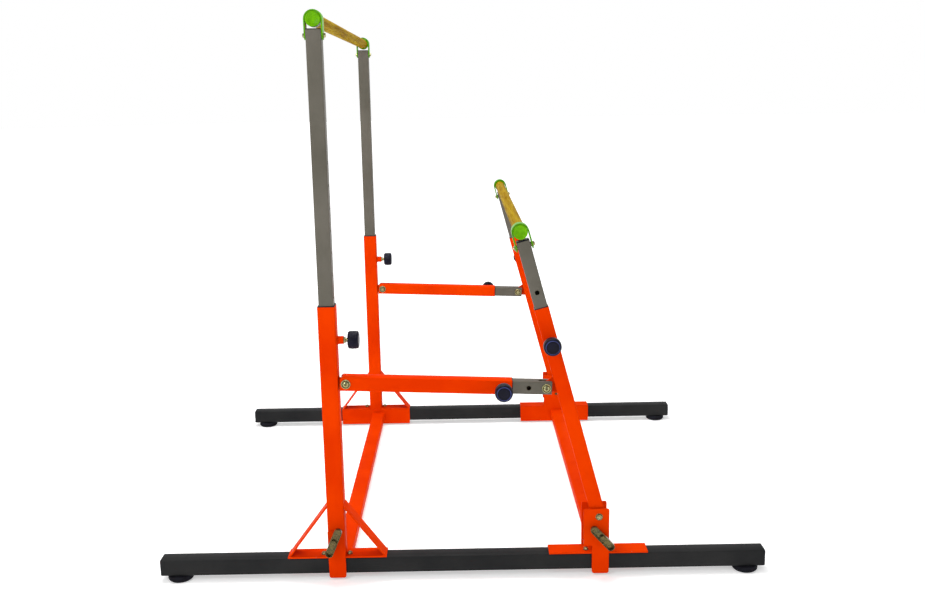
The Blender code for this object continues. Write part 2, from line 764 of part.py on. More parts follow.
# ---------------------------------------------------------------- assembly

def make_floor_frame():
    """Rails, cross tubes, brackets and their clamp handles."""
    for side, sign in SIDES:
        make_rail(side, sign)
        make_high_bracket(side, sign)
        make_low_bracket(side, sign)
        make_clamp_handle("high", HIGH_X, side, sign, POST_SIZE / 2 - 0.020)
        make_clamp_handle("low", LOW_X, side, sign, -CHEEK_FAR - 0.005)
        pivot = bolt(2 * CHEEK_FAR, BOLT_RADIUS, 0.0130, BOLT_FLATS, "Y", (0, 0, 0), sign)
        location = (LOW_X, sign * SIDE_Y, PIVOT_Z)
        make_object(f"leg_pivot_bolt_{side}", [pivot], "zinc_plate", location)
    make_cross_tube("floor_cross_tube_high", HIGH_X)
    make_cross_tube("floor_cross_tube_low", LOW_X)


def make_high_bar():
    """Posts, sliding masts, their knobs and the high bar."""
    frame = make_frame("high_bar_slide", (HIGH_X, 0, 0))
    for side, sign in SIDES:
        y = sign * SIDE_Y
        make_high_post(side, sign)
        make_mast(side, sign, frame)
        tip = MAST_SIZE / 2 + 2 * GAP
        make_knob(f"post_knob_{side}", POST_SIZE / 2, tip, "X", 1, (HIGH_X, y, POST_KNOB_Z))
    make_bar_set("high_bar", MAST_SIZE, MAST_TOP, frame)


def make_low_bar():
    """Tilting legs, sliding stems, their knobs and the low bar."""
    frame = make_frame("low_bar_tilt", (LOW_X, 0, PIVOT_Z), -LEG_LEAN)
    tip = STEM_SIZE / 2 + 2 * GAP
    for side, sign in SIDES:
        make_leg(side, sign, frame)
        make_stem(side, sign, frame)
        make_knob(f"leg_knob_{side}", LEG_SIZE / 2, tip, "Y", sign, (0, sign * SIDE_Y, LEG_KNOB), frame)
    make_bar_set("low_bar", STEM_SIZE, STEM_TOP, frame)


def make_arms():
    """Telescopic arms that hold the low legs at their tilt."""
    tip = ROD_SIZE / 2 + 2 * GAP
    for side, sign in SIDES:
        frame = make_frame(f"arm_hinge_{side}", (ARM_X, sign * SIDE_Y, ARM_Z), ARM_DROP)
        make_arm(side, sign, frame)
        make_rod(side, sign, frame)
        make_knob(f"arm_knob_{side}", ARM_SIZE / 2, tip, "Y", sign, (ARM_KNOB, 0, 0), frame)
        make_end_fastener(f"arm_end_bolt_{side}", sign, frame)
        make_end_fastener(f"arm_end_nut_{side}", -sign, frame)
        hinge = bolt(ARM_SIZE, BOLT_RADIUS, 0.0165, BOLT_FLATS, "Y", (0, 0, 0), sign)
        make_object(f"arm_pivot_bolt_{side}", [hinge], "zinc_plate", frame=frame)


clear_scene()
MATERIALS = make_finishes()
make_floor_frame()
make_high_bar()
make_low_bar()
make_arms()
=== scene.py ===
"""Looks of the uneven parallel bars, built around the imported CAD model.

Every mesh is made in the row frame, in metres, so an object's own coordinates are its place at
rest, and the procedural textures stay put on the pieces when the bars move.
"""

import json
from math import cos, pi, radians, sin

import bmesh
import bpy
from mathutils import Matrix, Vector


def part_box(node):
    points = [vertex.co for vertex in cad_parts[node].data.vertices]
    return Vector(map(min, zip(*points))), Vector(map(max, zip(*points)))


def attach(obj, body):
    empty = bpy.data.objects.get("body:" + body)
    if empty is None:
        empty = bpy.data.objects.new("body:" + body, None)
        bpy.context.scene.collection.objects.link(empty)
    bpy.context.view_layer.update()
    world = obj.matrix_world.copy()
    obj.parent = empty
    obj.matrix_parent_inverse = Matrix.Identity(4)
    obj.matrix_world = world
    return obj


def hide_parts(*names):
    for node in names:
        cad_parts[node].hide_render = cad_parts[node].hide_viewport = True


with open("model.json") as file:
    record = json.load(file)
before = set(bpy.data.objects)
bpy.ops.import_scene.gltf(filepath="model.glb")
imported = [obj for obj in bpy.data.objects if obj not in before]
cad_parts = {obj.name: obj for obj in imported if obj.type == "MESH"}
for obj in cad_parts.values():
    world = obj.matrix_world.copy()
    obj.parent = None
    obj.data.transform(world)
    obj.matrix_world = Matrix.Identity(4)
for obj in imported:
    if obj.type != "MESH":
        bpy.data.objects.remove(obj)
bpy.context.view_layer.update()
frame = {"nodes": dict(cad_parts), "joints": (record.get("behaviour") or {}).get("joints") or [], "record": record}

JOINTS = {joint["name"]: joint for joint in frame["joints"]}
SIDES = {"front": -1, "rear": 1}  # with the sign of Y that points outwards
X = Vector((1, 0, 0))
Y = Vector((0, 1, 0))
Z = Vector((0, 0, 1))
LEG = Vector(JOINTS["low_bar_height"]["axis"])  # up along the tilting legs
LEG_OUT = Vector((LEG.z, 0, -LEG.x))  # across them, away from the high bar
ARM = Vector(JOINTS["arm_slide_front"]["axis"])  # along the arms, away from the high bar
SKIN = 0.0003  # air between pieces that touch

# Square tubes: outer width and wall
POST = 0.060
POST_WALL = 0.0025
MAST = 0.050
LEG_TUBE = 0.050
STEM = 0.045
TUBE_WALL = 0.002  # of every tube but the posts

# Knobs
GRIP_LENGTH = 0.0375
BOSS_GAP = 0.0145  # from a tube's boss to the back of the grip
BOSS_FOOT = 0.0145  # radius of the weld round a boss
PIN_RADIUS = 0.005

# Bolts
ARM_SHANK = 0.006
ARM_FLATS = 0.019
SADDLE_SHANK = 0.005
SADDLE_FLATS = 0.015
WASHER = 0.0019  # thickness
PLATE_ABOVE_RAIL = 0.0063  # top of a bracket's plate
BASE_BOLT_REACH = 0.046  # along the rail, from the middle of the pair
BASE_BOLT_OUT = 0.011  # outwards from the rail's middle

# Weld beads
BOSS_BEAD = 0.0016
FRAME_BEAD = 0.0022

# Camera
CAMERA_PLACE = (0.0157, -4.0813, 1.689)
CAMERA_TILT = radians(-11.935)
CAMERA_ROLL = radians(-1.016)
SENSOR_MM = 36.0
LENS_MM = 38.242


# ---------------------------------------------------------------- material helpers

def new_material(name):
    """A material with its node tree and its Principled shader."""
    material = bpy.data.materials.new(name)
    material.use_nodes = True
    tree = material.node_tree
    return material, tree, tree.nodes["Principled BSDF"]


def put(tree, socket, value):
    """Links a socket to another one, or sets its value."""
    if isinstance(value, bpy.types.NodeSocket):
        tree.links.new(value, socket)
    else:
        socket.default_value = value


def colour(red, green, blue):
    """A colour from its 0 to 255 screen values, in linear light."""
    def linear(v):
        v /= 255
        return v / 12.92 if v <= 0.04045 else ((v + 0.055) / 1.055) ** 2.4
    return (linear(red), linear(green), linear(blue), 1.0)


def place(tree, scale=(1, 1, 1)):
    """Object coordinates, stretched by a scale for each axis."""
    source = tree.nodes.new("ShaderNodeTexCoord")
    mapping = tree.nodes.new("ShaderNodeMapping")
    mapping.inputs["Scale"].default_value = scale
    tree.links.new(source.outputs["Object"], mapping.inputs["Vector"])
    return mapping.outputs["Vector"]


def noise(tree, scale, detail=3.0, stretch=(1, 1, 1), distortion=0.0):
    """Noise from 0 to 1 in object space."""
    node = tree.nodes.new("ShaderNodeTexNoise")
    put(tree, node.inputs["Vector"], place(tree, stretch))
    node.inputs["Scale"].default_value = scale
    node.inputs["Detail"].default_value = detail
    node.inputs["Distortion"].default_value = distortion
    return node.outputs[0]


def ramp(tree, value, low, high, start=0.0, end=1.0):
    """Maps a value between low and high to the range from start to end."""
    node = tree.nodes.new("ShaderNodeMapRange")
    put(tree, node.inputs["Value"], value)
    node.inputs["From Min"].default_value = low
    node.inputs["From Max"].default_value = high
    node.inputs["To Min"].default_value = start
    node.inputs["To Max"].default_value = end
    return node.outputs["Result"]


def mix(tree, share, first, second):
    """Two colours mixed by a share."""
    node = tree.nodes.new("ShaderNodeMixRGB")
    put(tree, node.inputs["Fac"], share)
    put(tree, node.inputs["Color1"], first)
    put(tree, node.inputs["Color2"], second)
    return node.outputs["Color"]


def bump(tree, height, distance, strength=1.0, below=None):
    """A bumped normal, on top of another one where there is one."""
    node = tree.nodes.new("ShaderNodeBump")
    put(tree, node.inputs["Height"], height)
    node.inputs["Distance"].default_value = distance
    node.inputs["Strength"].default_value = strength
    if below is not None:
        tree.links.new(below, node.inputs["Normal"])
    return node.outputs["Normal"]


# ---------------------------------------------------------------- materials

def powder_coat(name, face, shade, roughness, index):
    """Sprayed and baked paint: slight drift of colour, orange peel, and faint rub marks."""
    material, tree, shader = new_material(name)
    shader.inputs["IOR"].default_value = index
    drift = ramp(tree, noise(tree, 5.0, 4.0), 0.35, 0.65)
    speckle = ramp(tree, noise(tree, 420.0, 2.0), 0.35, 0.75)
    rubs = ramp(tree, noise(tree, 26.0, 5.0, distortion=1.2), 0.58, 0.72)
    body = mix(tree, drift, face, shade)
    body = mix(tree, ramp(tree, speckle, 0, 1, 0, 0.22), body, shade)
    put(tree, shader.inputs["Base Color"], mix(tree, ramp(tree, rubs, 0, 1, 0, 0.12), body, shade))
    put(tree, shader.inputs["Roughness"], ramp(tree, rubs, 0, 1, roughness, roughness + 0.14))
    peel = bump(tree, noise(tree, 650.0, 2.0), 0.00006)
    put(tree, shader.inputs["Normal"], bump(tree, noise(tree, 110.0, 2.0), 0.00012, 0.6, peel))
    return material


def edge_light_and_wear(name, face, shade, bare, wear):
    """Paint on an eased edge: a painted highlight or painted shade along the edge, with chips down to the steel.
    """
    material, tree, shader = new_material(name)
    shader.inputs["IOR"].default_value = 1.06
    patchy = ramp(tree, noise(tree, 60.0, 4.0), 0.35, 0.65)
    paint = mix(tree, patchy, face, shade)
    chips = ramp(tree, noise(tree, 210.0, 4.0), 1.0 - wear, 1.0 - wear + 0.04)
    put(tree, shader.inputs["Base Color"], mix(tree, chips, paint, bare))
    put(tree, shader.inputs["Metallic"], ramp(tree, chips, 0, 1, 0.0, 0.85))
    put(tree, shader.inputs["Roughness"], ramp(tree, chips, 0, 1, 0.45, 0.35))
    put(tree, shader.inputs["Normal"], bump(tree, chips, 0.00008, 0.5))
    return material


def zinc_plate(name, light, cool, blush, tarnish, share):
    """Yellow zinc plate: a drifting sheen, with tarnished patches and fine scratches."""
    material, tree, shader = new_material(name)
    drift = ramp(tree, noise(tree, 75.0, 4.0, distortion=0.8), 0.35, 0.65)
    sheen = mix(tree, drift, light, cool)
    sheen = mix(tree, ramp(tree, noise(tree, 120.0, 3.0), 0.56, 0.70, 0.0, 0.45), sheen, blush)
    dull = ramp(tree, noise(tree, 260.0, 5.0), 0.50, 0.68)
    put(tree, shader.inputs["Base Color"], mix(tree, ramp(tree, dull, 0, 1, 0, share), sheen, tarnish))
    shader.inputs["Metallic"].default_value = 0.92
    put(tree, shader.inputs["Roughness"], ramp(tree, dull, 0, 1, 0.24, 0.46))
    scratches = noise(tree, 900.0, 2.0, (1.0, 1.0, 0.12))
    put(tree, shader.inputs["Normal"], bump(tree, scratches, 0.00005, 0.5))
    return material


def wood_grain():
    """Clear-finished laminated wood with its grain along the bar."""
    material, tree, shader = new_material("wood_grain")
    along = (1.0, 0.045, 1.0)
    bands = ramp(tree, noise(tree, 70.0, 5.0, along, 0.7), 0.36, 0.64)
    streaks = ramp(tree, noise(tree, 420.0, 4.0, (1.0, 0.02, 1.0)), 0.50, 0.70)
    drift = ramp(tree, noise(tree, 2.6, 2.0), 0.35, 0.65)
    wood = mix(tree, bands, colour(156, 130, 16), colour(122, 92, 4))
    wood = mix(tree, ramp(tree, drift, 0, 1, 0, 0.45), wood, colour(140, 111, 13))
    wood = mix(tree, ramp(tree, streaks, 0, 1, 0, 0.55), wood, colour(86, 58, 3))
    put(tree, shader.inputs["Base Color"], wood)
    put(tree, shader.inputs["Roughness"], ramp(tree, streaks, 0, 1, 0.36, 0.55))
    shader.inputs["IOR"].default_value = 1.02
    put(tree, shader.inputs["Normal"], bump(tree, streaks, 0.00010, 0.6))
    return material


def moulded(name, face, shade, roughness, index, grain, distance):
    """Moulded plastic or rubber with a fine spark-eroded grain."""
    material, tree, shader = new_material(name)
    shader.inputs["IOR"].default_value = index
    drift = ramp(tree, noise(tree, 38.0, 4.0), 0.35, 0.65)
    dust = ramp(tree, noise(tree, 160.0, 5.0), 0.56, 0.74)
    body = mix(tree, drift, face, shade)
    put(tree, shader.inputs["Base Color"], mix(tree, ramp(tree, dust, 0, 1, 0, 0.5), body, shade))
    put(tree, shader.inputs["Roughness"], ramp(tree, dust, 0, 1, roughness, roughness + 0.15))
    put(tree, shader.inputs["Normal"], bump(tree, noise(tree, grain, 3.0), distance, 0.7))
    return material


def pale_floor():
    """A matt studio floor that fades into the white surroundings."""
    material, tree, shader = new_material("pale_floor")
    cloud = ramp(tree, noise(tree, 0.8, 3.0), 0.3, 0.7)
    light, lighter = (0.80, 0.80, 0.80, 1), (0.83, 0.83, 0.83, 1)
    put(tree, shader.inputs["Base Color"], mix(tree, cloud, light, lighter))
    shader.inputs["Roughness"].default_value = 0.9
    shader.inputs["Specular IOR Level"].default_value = 0.1
    distance = tree.nodes.new("ShaderNodeVectorMath")
    distance.operation = "LENGTH"
    put(tree, distance.inputs[0], place(tree))
    shader.inputs["Emission Color"].default_value = (1, 1, 1, 1)
    glow = ramp(tree, distance.outputs["Value"], 1.6, 4.5, 0.42, 1.0)
    put(tree, shader.inputs["Emission Strength"], glow)
    return material


BARE = colour(150, 150, 145)
MATERIALS = {
    "black_powder_coat": powder_coat(
        "black_powder_coat", colour(39, 39, 39), colour(28, 29, 30), 0.42, 1.15
    ),
    "orange_powder_coat": powder_coat(
        "orange_powder_coat", colour(218, 57, 0), colour(204, 46, 0), 0.36, 1.03
    ),
    "grey_powder_coat": powder_coat(
        "grey_powder_coat", colour(98, 94, 86), colour(84, 81, 72), 0.38, 1.15
    ),
    "green_powder_coat": powder_coat(
        "green_powder_coat", colour(92, 160, 2), colour(70, 132, 0), 0.30, 1.20
    ),
    "green_plastic": moulded(
        "green_plastic", colour(100, 165, 2), colour(82, 142, 0), 0.30, 1.16, 900.0, 0.00004
    ),
    "wood_grain": wood_grain(),
    "zinc_plate": zinc_plate(
        "zinc_plate", colour(172, 164, 112), colour(140, 144, 112), colour(166, 124, 100),
        colour(70, 64, 40), 0.55
    ),
    "black_plastic": moulded(
        "black_plastic", colour(13, 13, 32), colour(8, 8, 22), 0.36, 1.22, 1100.0, 0.00008
    ),
    "black_rubber": moulded(
        "black_rubber", colour(22, 22, 30), colour(13, 13, 18), 0.78, 1.22, 500.0, 0.00015
    ),
}
# Dull dark zinc: the clamp handles' own colour; on bolts it is painted shade in the grooves, sockets and washer
# faces.
DARK_ZINC_AND_GROOVE_SHADE = zinc_plate(
    "dark_zinc_and_groove_shade", colour(112, 100, 62), colour(84, 78, 56), colour(104, 74, 48), colour(30, 26, 14), 0.80
)
# Lighter, glossier blue for a ring on the knobs' faces: a painted highlight.
KNOB_RING_HIGHLIGHT = moulded("knob_ring_painted_highlight", colour(52, 62, 122), colour(30, 38, 84), 0.26, 1.35, 1100.0, 0.00006)
# Edge colours: lighter for the black tubes as a painted highlight, lighter and darker patches for the orange as
# painted highlight and shade, darker for the grey and green as painted shade; the chips are wear.
EDGE_LIGHT_AND_WEAR = {
    "black_powder_coat": edge_light_and_wear("black_edge_highlight", colour(70, 70, 70), colour(38, 38, 38), BARE, 0.34),
    "orange_powder_coat": edge_light_and_wear("orange_edge_light_and_shade", colour(230, 62, 10), colour(176, 40, 4), BARE, 0.31),
    "grey_powder_coat": edge_light_and_wear("grey_edge_shade", colour(100, 96, 70), colour(64, 62, 42), BARE, 0.36),
    "green_powder_coat": edge_light_and_wear("green_edge_shade", colour(64, 122, 6), colour(42, 84, 4), BARE, 0.32),
}


# ---------------------------------------------------------------- mesh helpers

def along(origin, direction):
    """A matrix that puts local Z on a direction."""
    return Matrix.Translation(origin) @ Vector(direction).to_track_quat("Z", "Y").to_matrix().to_4x4()


def add_rings(bm, rings, matrix, closed=False, dark=()):
    """Skins rings of points; a ring of one point closes that end.

    The faces after a ring whose index is listed get the piece's second material: painted shade in a bolt's grooves
    and socket, or a painted highlight on a knob's face.
    """
    made = [[bm.verts.new(matrix @ Vector(p)) for p in ring] for ring in rings]
    pairs = list(zip(made, made[1:]))
    if closed:
        pairs.append((made[-1], made[0]))
    for index, (low, high) in enumerate(pairs):
        count = max(len(low), len(high))
        for i in range(count):
            j = (i + 1) % count
            corners = [
                low[i % len(low)], low[j % len(low)], high[j % len(high)], high[i % len(high)]
            ]
            face = bm.faces.new(list(dict.fromkeys(corners)))
            face.material_index = 1 if index in dark else 0
    if not closed:
        for ring in (made[0], made[-1]):
            if len(ring) > 1:
                bm.faces.new(ring)


def add_lathe(bm, profile, matrix, segments=48, lobes=0, lobe_depth=0.0, closed=False):
    """Turns (radius, level) points round local Z; lobes flute the widest part.

    After them, "hex" makes that ring a hexagon, with the radius to its flats, and the painted-light
    flag gives the faces up to the next ring the piece's second material: painted shade or a painted highlight.
    """
    widest = max(radius for radius, level, *kind in profile)
    dark = [index for index, (radius, level, *kind) in enumerate(profile) if "dark" in kind]
    rings = []
    for radius, level, *kind in profile:
        if radius == 0:
            rings.append([(0, 0, level)])
            continue
        ring = []
        for i in range(segments):
            angle = 2 * pi * i / segments
            r = radius
            if "hex" in kind:
                r /= cos(angle % (pi / 3) - pi / 6)
            elif lobes and radius > 0.9 * widest:
                r -= lobe_depth * max(0.0, cos(lobes * angle)) ** 4
            ring.append((r * cos(angle), r * sin(angle), level))
        rings.append(ring)
    add_rings(bm, rings, matrix, closed, dark)


def rounded_rectangle(width, height, radius, steps=6):
    """Points on a rectangle with round corners."""
    points = []
    for corner, (su, sv) in enumerate(((1, 1), (-1, 1), (-1, -1), (1, -1))):
        for step in range(steps + 1):
            angle = pi / 2 * (corner + step / steps)
            u = su * (width / 2 - radius) + radius * cos(angle)
            v = sv * (height / 2 - radius) + radius * sin(angle)
            points.append((u, v))
    return points


def add_bead(bm, path, radius, ripple=0.22):
    """A weld bead round a closed path; it narrows by the ripple over each three points."""
    count = len(path)
    spokes = [pi / 4 * k for k in range(8)]
    rings = []
    for i, point in enumerate(path):
        ahead = (path[(i + 1) % count] - path[i - 1]).normalized()
        matrix = along(point, ahead)
        r = radius * (1.0 - ripple * (i % 3) / 2)
        rings.append([matrix @ Vector((r * cos(a), r * sin(a), 0)) for a in spokes])
    add_rings(bm, rings, Matrix.Identity(4), closed=True)


def make_piece(name, bm, slot, body, replaced=(), sharp=38, second=None):
    """Finishes a piece: outward normals, shading, material, and the body it rides on."""
    bmesh.ops.recalc_face_normals(bm, faces=bm.faces[:])
    mesh = bpy.data.meshes.new(name)
    bm.to_mesh(mesh)
    bm.free()
    mesh.shade_smooth()
    mesh.set_sharp_from_angle(angle=radians(sharp))
    mesh.materials.append(MATERIALS[slot])
    if second is not None:
        mesh.materials.append(second)
    piece = bpy.data.objects.new(name, mesh)
    bpy.context.scene.collection.objects.link(piece)
    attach(piece, body)
    if replaced:
        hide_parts(*replaced)
    return piece


def middle(node):
    """Centre of a CAD node's box."""
    low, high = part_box(node)
    return (low + high) / 2


def span(node, direction):
    """Lowest and highest level of a CAD node along a direction."""
    levels = [vertex.co.dot(direction) for vertex in frame["nodes"][node].data.vertices]
    return min(levels), max(levels)


def body_of(node):
    """The body that a CAD node rides on."""
    bodies = frame["record"]["behaviour"]["bodies"]
    return next(body for body, members in bodies.items() if node in members)


# ---------------------------------------------------------------- CAD nodes

def dress_cad_nodes():
    """Gives each CAD node its slot's material and eases its edges, with a painted highlight or painted shade and
    chips along them.
    """
    for part in frame["record"]["subparts"]:
        node = frame["nodes"][part["node"]]
        slot = part["material_slot"]
        mesh = node.data
        mesh.materials.clear()
        handle = part["node"].startswith("clamp_handle")
        mesh.materials.append(DARK_ZINC_AND_GROOVE_SHADE if handle else MATERIALS[slot])
        mesh.polygons.foreach_set("material_index", [0] * len(mesh.polygons))
        if "custom_normal" in mesh.attributes:
            mesh.attributes.remove(mesh.attributes["custom_normal"])
        mesh.shade_smooth()
        weld = node.modifiers.new("weld", "WELD")
        weld.merge_threshold = 0.00001
        flatten = node.modifiers.new("flatten", "DECIMATE")
        flatten.decimate_type = "DISSOLVE"
        flatten.angle_limit = radians(0.5)
        ease = node.modifiers.new("ease", "BEVEL")
        ease.width = 0.0006
        ease.segments = 2
        ease.limit_method = "ANGLE"
        ease.angle_limit = radians(38)
        ease.use_clamp_overlap = False
        ease.harden_normals = True
        # The bevelled edges get the edge material: a painted highlight or painted shade, with chips.
        if slot in EDGE_LIGHT_AND_WEAR:
            mesh.materials.append(EDGE_LIGHT_AND_WEAR[slot])
            ease.material = 1


# ---------------------------------------------------------------- round pieces that replace CAD ones

def make_bars():
    """The two wooden bars, with eased ends."""
    for bar in ("high_bar", "low_bar"):
        low, high = span(bar, Y)
        radius = (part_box(bar)[1].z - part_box(bar)[0].z) / 2
        centre = middle(bar)
        centre.y = 0
        start = [(0, 0), (radius - 0.003, 0), (radius - 0.0008, 0.0008)]
        start += [(radius, 0.003), (radius, 0.006)]
        steps = 24
        profile = [(r, low + level) for r, level in start]
        profile += [(radius, low + (high - low) * i / steps) for i in range(1, steps)]
        profile += [(r, high - level) for r, level in reversed(start)]
        bm = bmesh.new()
        add_lathe(bm, profile, along(centre, Y), 64)
        make_piece(f"{bar}_rail", bm, "wood_grain", body_of(bar), [bar])


def make_end_caps():
    """Moulded cups over the bars' ends: rounded rim, shallow dish and a collar against the saddle."""
    for bar in ("high_bar", "low_bar"):
        bar_radius = (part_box(bar)[1].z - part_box(bar)[0].z) / 2
        for side, sign in SIDES.items():
            node = f"{bar}_end_cap_{side}"
            out = sign * Y
            low, high = span(node, out)
            radius = (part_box(node)[1].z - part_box(node)[0].z) / 2
            centre = middle(node)
            centre.y = 0
            bore = bar_radius + SKIN
            profile = [
                (0, high - 0.0046), (bore - 0.001, high - 0.0046), (bore, high - 0.006),
                (bore, low + 0.001), (bore + 0.0008, low), (radius - 0.0012, low),
                (radius - 0.0004, low + 0.0012), (radius - 0.0004, high - 0.0040),
                (radius - 0.0008, high - 0.0018), (radius - 0.0026, high - 0.0003),
                (radius - 0.0042, high), (radius - 0.0060, high - 0.0007),
                (radius - 0.0072, high - 0.0016), (0.006, high - 0.0019), (0, high - 0.0019),
            ]
            bm = bmesh.new()
            add_lathe(bm, profile, along(centre, out), 64)
            make_piece(f"{bar}_cup_{side}", bm, "green_plastic", body_of(node), [node])


def make_feet():
    """Turned rubber feet with two grip rings round the side."""
    for side in SIDES:
        for end in ("left", "right"):
            node = f"foot_{side}_{end}"
            low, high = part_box(node)
            radius = (high.x - low.x) / 2
            top = high.z
            profile = [
                (0, 0.0008), (radius - 0.018, 0.0008), (radius - 0.016, 0), (radius - 0.010, 0),
                (radius - 0.0055, 0.0010), (radius - 0.0022, 0.0038), (radius - 0.0006, 0.0068),
                (radius - 0.0014, 0.0082), (radius, 0.0096), (radius, 0.0114), (radius - 0.0013, 0.0126),
                (radius - 0.0002, 0.0140), (radius - 0.0004, 0.0176), (radius - 0.0016, top - 0.0012),
                (radius - 0.0040, top), (0, top),
            ]
            centre = middle(node)
            centre.z = 0
            bm = bmesh.new()
            add_lathe(bm, profile, along(centre, Z), 64)
            make_piece(f"rubber_{node}", bm, "black_rubber", body_of(node), [node])


def make_grip(name, node, centre, out, front, radius):
    """A fluted, slightly barrel-shaped grip with a ring sunk in its face; a flat ring near the face's rim is a
    painted highlight in lighter blue.
    """
    back = front - GRIP_LENGTH
    # The flat ring near the face's rim gets the lighter blue second material, a painted highlight.
    profile = [
        (0, back + 0.001), (0.0052, back + 0.001), (0.0100, back), (radius - 0.0080, back),
        (radius - 0.0042, back + 0.0008), (radius - 0.0018, back + 0.0030),
        (radius - 0.0006, back + 0.0085), (radius, back + 0.0187), (radius - 0.0005, front - 0.0085),
        (radius - 0.0016, front - 0.0034), (radius - 0.0036, front - 0.0010),
        (radius - 0.0066, front, "dark"), (radius - 0.0090, front - 0.0003),
        (radius - 0.0098, front - 0.0016), (radius - 0.0112, front - 0.0018),
        (radius - 0.0122, front - 0.0006), (radius - 0.0140, front - 0.0003), (0, front - 0.0003),
    ]
    bm = bmesh.new()
    add_lathe(bm, profile, along(centre, out), 144, 36, 0.0009)
    make_piece(name, bm, "black_plastic", body_of(node), [node], second=KNOB_RING_HIGHLIGHT)


def make_plunger_nut(name, body, centre, out, boss):
    """The hexagonal nut and collar on a boss that the knob's pin slides in."""
    seat = boss + SKIN
    profile = [
        (0.0056, seat), (0.0098, seat, "hex"), (0.0098, boss + 0.0060, "hex"),
        (0.0094, boss + 0.0066), (0.0072, boss + 0.0068), (0.0070, boss + 0.0095),
        (0.0064, boss + 0.0100), (0.0056, boss + 0.0100),
    ]
    bm = bmesh.new()
    add_lathe(bm, profile, along(centre, out), 48, closed=True)
    make_piece(name, bm, "zinc_plate", body, sharp=25)


def make_pin(name, body, centre, out, tip, back):
    """The plated pin of a knob, with a collar at the grip."""
    profile = [
        (0, tip), (PIN_RADIUS - 0.0012, tip), (PIN_RADIUS, tip + 0.0014), (PIN_RADIUS, back - 0.0042),
        (0.0070, back - 0.0042), (0.0074, back - 0.0036), (0.0074, back - SKIN), (0, back - SKIN),
    ]
    bm = bmesh.new()
    add_lathe(bm, profile, along(centre, out), 32)
    make_piece(name, bm, "zinc_plate", body)


def make_knobs():
    """Six pull knobs: the grip and the pin move, and the nut stays on its tube."""
    for kind in ("post", "leg", "arm"):
        for side in SIDES:
            node = f"{kind}_knob_{side}"
            out = Vector(JOINTS[f"{kind}_knob_pull_{side}"]["axis"])
            tip, front = span(node, out)
            low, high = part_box(node)
            radius = (high.z - low.z) / 2
            centre = middle(node)
            centre -= out * centre.dot(out)
            back = front - GRIP_LENGTH
            carrier = {"post": "root", "leg": "low_frame", "arm": f"arm_{side}"}[kind]
            make_grip(f"{kind}_knob_grip_{side}", node, centre, out, front, radius)
            make_plunger_nut(f"{kind}_plunger_nut_{side}", carrier, centre, out, back - BOSS_GAP)
            make_pin(f"{kind}_knob_pin_{side}", body_of(node), centre, out, tip, back)


def add_washer(bm, matrix, seat, radius, cupped):
    """A washer on a seat; a cupped one has a raised rim round a groove."""
    profile = [(0, seat), (radius - 0.0004, seat), (radius, seat + 0.0004)]
    if cupped:
        # The groove inside the cupped washer's rim carries painted shade.
        profile += [
            (radius, seat + 0.0026), (radius - 0.0006, seat + 0.0034), (radius - 0.0024, seat + 0.0034),
            (radius - 0.0028, seat + 0.0028, "dark"), (radius - 0.0032, seat + 0.0010, "dark"),
            (0, seat + 0.0010),
        ]
    else:
        top = seat + WASHER
        # The plain washer's top face carries painted shade round the head.
        profile += [(radius, top - 0.0005), (radius - 0.0005, top, "dark"), (0, top)]
    add_lathe(bm, profile, matrix)


def add_hex_head(bm, matrix, seat, flats, height):
    """A hexagonal head or nut: chamfered corners and a slightly raised end of thread."""
    half = flats / 2
    top = seat + height
    # The groove round the raised end of thread carries painted shade.
    profile = [
        (0, seat), (half, seat, "hex"), (half, top - 0.0016, "hex"), (half - 0.0002, top - 0.0008),
        (half - 0.0016, top), (0.36 * flats, top, "dark"), (0.34 * flats, top - 0.0012, "dark"),
        (0.31 * flats, top - 0.0012), (0.29 * flats, top + 0.0004), (0, top + 0.0004),
    ]
    add_lathe(bm, profile, matrix, 48)


def add_dome_head(bm, matrix, seat, radius, height):
    """A domed head with a hexagonal socket."""
    rim = 0.0012
    top = seat + height
    profile = [(0, seat), (radius, seat), (radius, seat + rim)]
    arc = [pi / 2 * i / 8 for i in range(1, 6)]
    profile += [(radius * cos(angle), seat + rim + (height - rim) * sin(angle)) for angle in arc]
    # The socket carries painted shade.
    profile += [(0.0048, top - 0.0003, "dark"), (0.0040, top - 0.0009, "hex", "dark")]
    profile += [(0.0040, seat + 0.0022, "hex", "dark"), (0, seat + 0.0018)]
    add_lathe(bm, profile, matrix, 48)


def make_bolt(node, name, out, shank, washer, flats, head, through=True, spacers=None):
    """A bolt in the place of its CAD solid, head outwards, with its washers, nut and spacers."""
    height = 0.35 * flats
    low, high = span(node, out)
    centre = middle(node)
    centre -= out * centre.dot(out)
    matrix = along(centre, out)
    seat = high - height - 0.002
    bm = bmesh.new()
    add_washer(bm, matrix, seat, washer, head != "plain")
    if head == "dome":
        add_dome_head(bm, matrix, seat + 0.0010, 0.0108, height)
    else:
        add_hex_head(bm, matrix, seat + WASHER, 0.92 * flats, height - 0.0006)
    inner = low
    if through:
        inner = low + height + 0.002
        back = along(centre, -out)
        add_washer(bm, back, -inner, washer, head != "plain")
        add_hex_head(bm, back, WASHER - inner, 0.92 * flats, height - 0.0006)
    add_lathe(bm, [(0, inner), (shank, inner), (shank, seat + 0.001), (0, seat + 0.001)], matrix, 32)
    if spacers:
        radius, near, far = spacers
        ring = [(0, near), (radius - 0.0002, near), (radius, near + 0.0003)]
        ring += [(radius, far - 0.0003), (radius - 0.0002, far), (0, far)]
        between = centre + out * (low + high) / 2
        for way in (1, -1):
            add_lathe(bm, ring, along(between, way * out), 32)
    # The second material is painted shade in the grooves, sockets and washer faces.
    make_piece(name, bm, "zinc_plate", body_of(node), [node], 25, DARK_ZINC_AND_GROOVE_SHADE)


